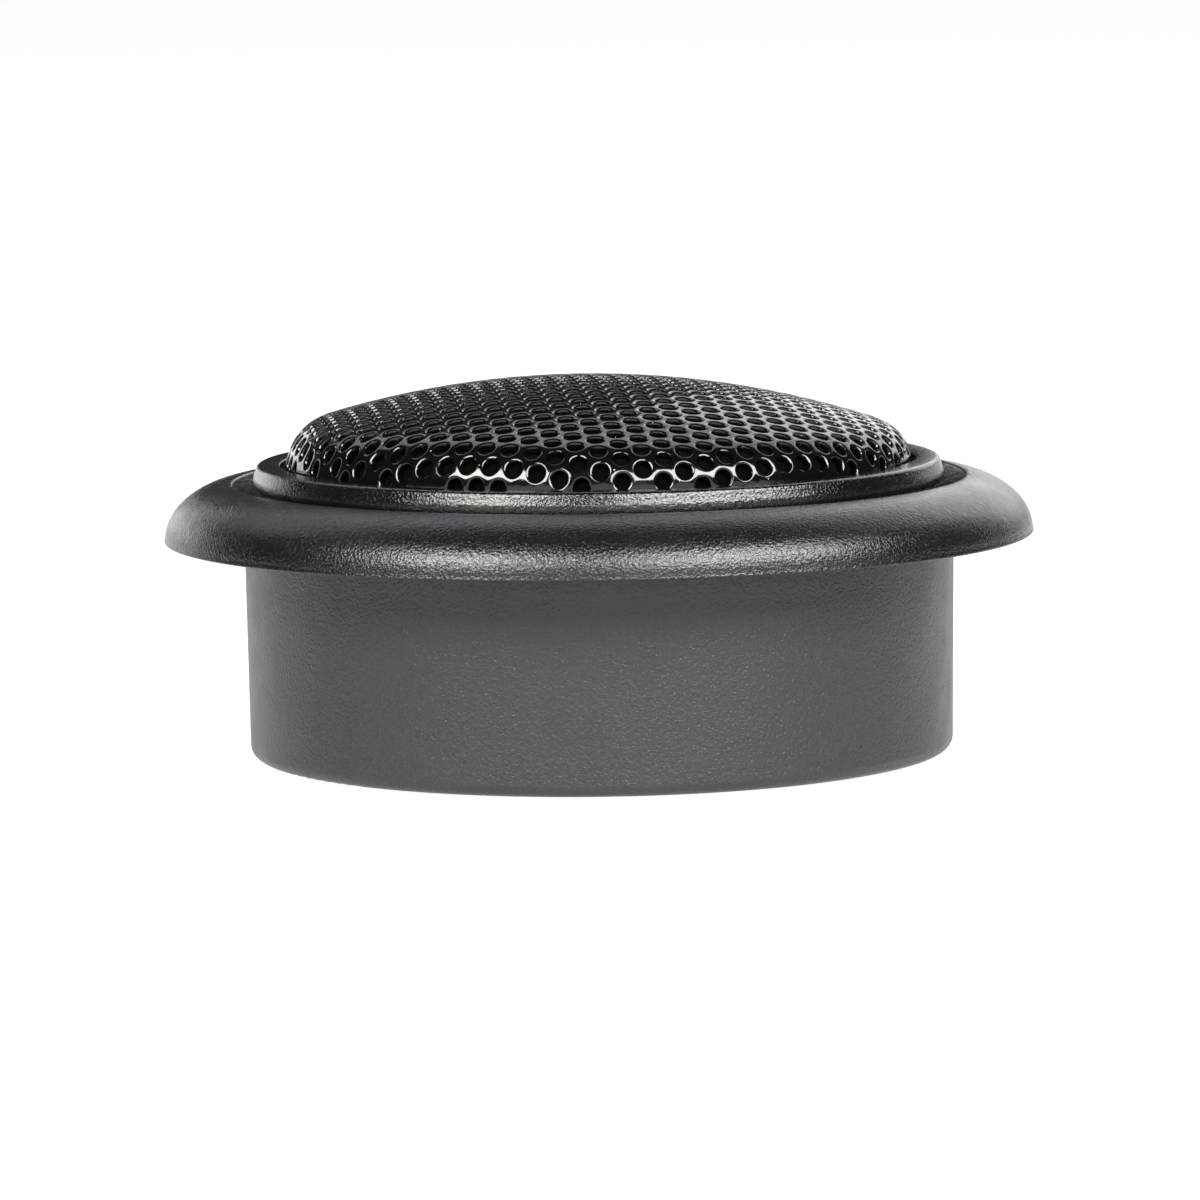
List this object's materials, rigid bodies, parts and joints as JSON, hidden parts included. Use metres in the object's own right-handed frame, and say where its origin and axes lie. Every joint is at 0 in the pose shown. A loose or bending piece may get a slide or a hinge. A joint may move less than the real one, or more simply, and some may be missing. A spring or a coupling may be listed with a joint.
{
  "type": "flush-mount dome tweeter",
  "caption": "Car dome tweeter: a grilled head that turns and tilts inside a flanged cup, which drops into a round cut-out in a door or dash panel.",
  "frame": {"origin": "middle of the cup's flat underside", "axes": "+Z along the cup's axis and out through the grille, X along the pivot pins"},
  "size_m": [0.058, 0.058, 0.025],
  "materials": {
    "cup_plastic": "fine-grained moulded charcoal ABS",
    "flange_plastic": "leather-grained black ABS, semi-gloss",
    "bezel_plastic": "leather-grained black ABS, satin",
    "grille_paint": "gloss black powder coat on perforated steel",
    "housing_plastic": "black nylon, matte",
    "gasket_foam": "closed-cell foam",
    "black_rubber": "moulded rubber",
    "felt": "pressed wool felt",
    "spring_steel": "phosphated spring steel",
    "pin_steel": "ground steel",
    "cloth": "open-weave black polyester",
    "plate_aluminium": "anodised dark grey",
    "motor_steel": "zinc-plated mild steel",
    "magnet_nickel": "nickel-plated neodymium",
    "copper": "turned copper",
    "board_green": "glass-epoxy board with solder mask",
    "tab_brass": "tinned brass",
    "wire_red": "insulated wire",
    "silk": "doped black silk",
    "former_foil": "lacquered foil"
  },
  "bodies": {
    "cup": {"flush_cup": "cup_plastic", "trim_ring": "flange_plastic", "panel_gasket": "gasket_foam", "cable_grommet": "black_rubber", "friction_washers": "felt", "retaining_ring": "spring_steel"},
    "gimbal": {"gimbal_ring": "housing_plastic"},
    "dome": {"silk_dome": "silk", "coil_former": "former_foil", "voice_coil": "copper"},
    "pod": {"pivot_pins": "pin_steel", "pod_shell": "housing_plastic", "bezel_ring": "bezel_plastic", "grille_mesh": "grille_paint", "grille_cloth": "cloth", "clamp_ring": "housing_plastic", "front_plate": "plate_aluminium", "yoke_pot": "motor_steel", "magnet": "magnet_nickel", "shorting_ring": "copper", "pole_plate": "motor_steel", "damping_pad": "felt", "terminal_board": "board_green", "terminal_positive": "tab_brass", "terminal_negative": "tab_brass", "coil_leads": "wire_red", "rear_cover": "housing_plastic", "rear_cover_screw": "pin_steel", "surround": "silk"}
  },
  "joints": [
    {"name": "gimbal_spin", "type": "hinge", "parent": "cup", "child": "gimbal", "pos_m": [0, 0, 0.0118], "axis": [0, 0, 1], "range_deg": [-170, 170]},
    {"name": "pod_tilt", "type": "hinge", "parent": "gimbal", "child": "pod", "pos_m": [0, 0, 0.0118], "axis": [1, 0, 0], "range_deg": [-6, 6]},
    {"name": "dome_travel", "type": "slide", "parent": "pod", "child": "dome", "axis": [0, 0, 1], "range_m": [-0.0003, 0.0003], "stiffness_N_per_m": 500, "deforming": ["surround"]}
  ]
}
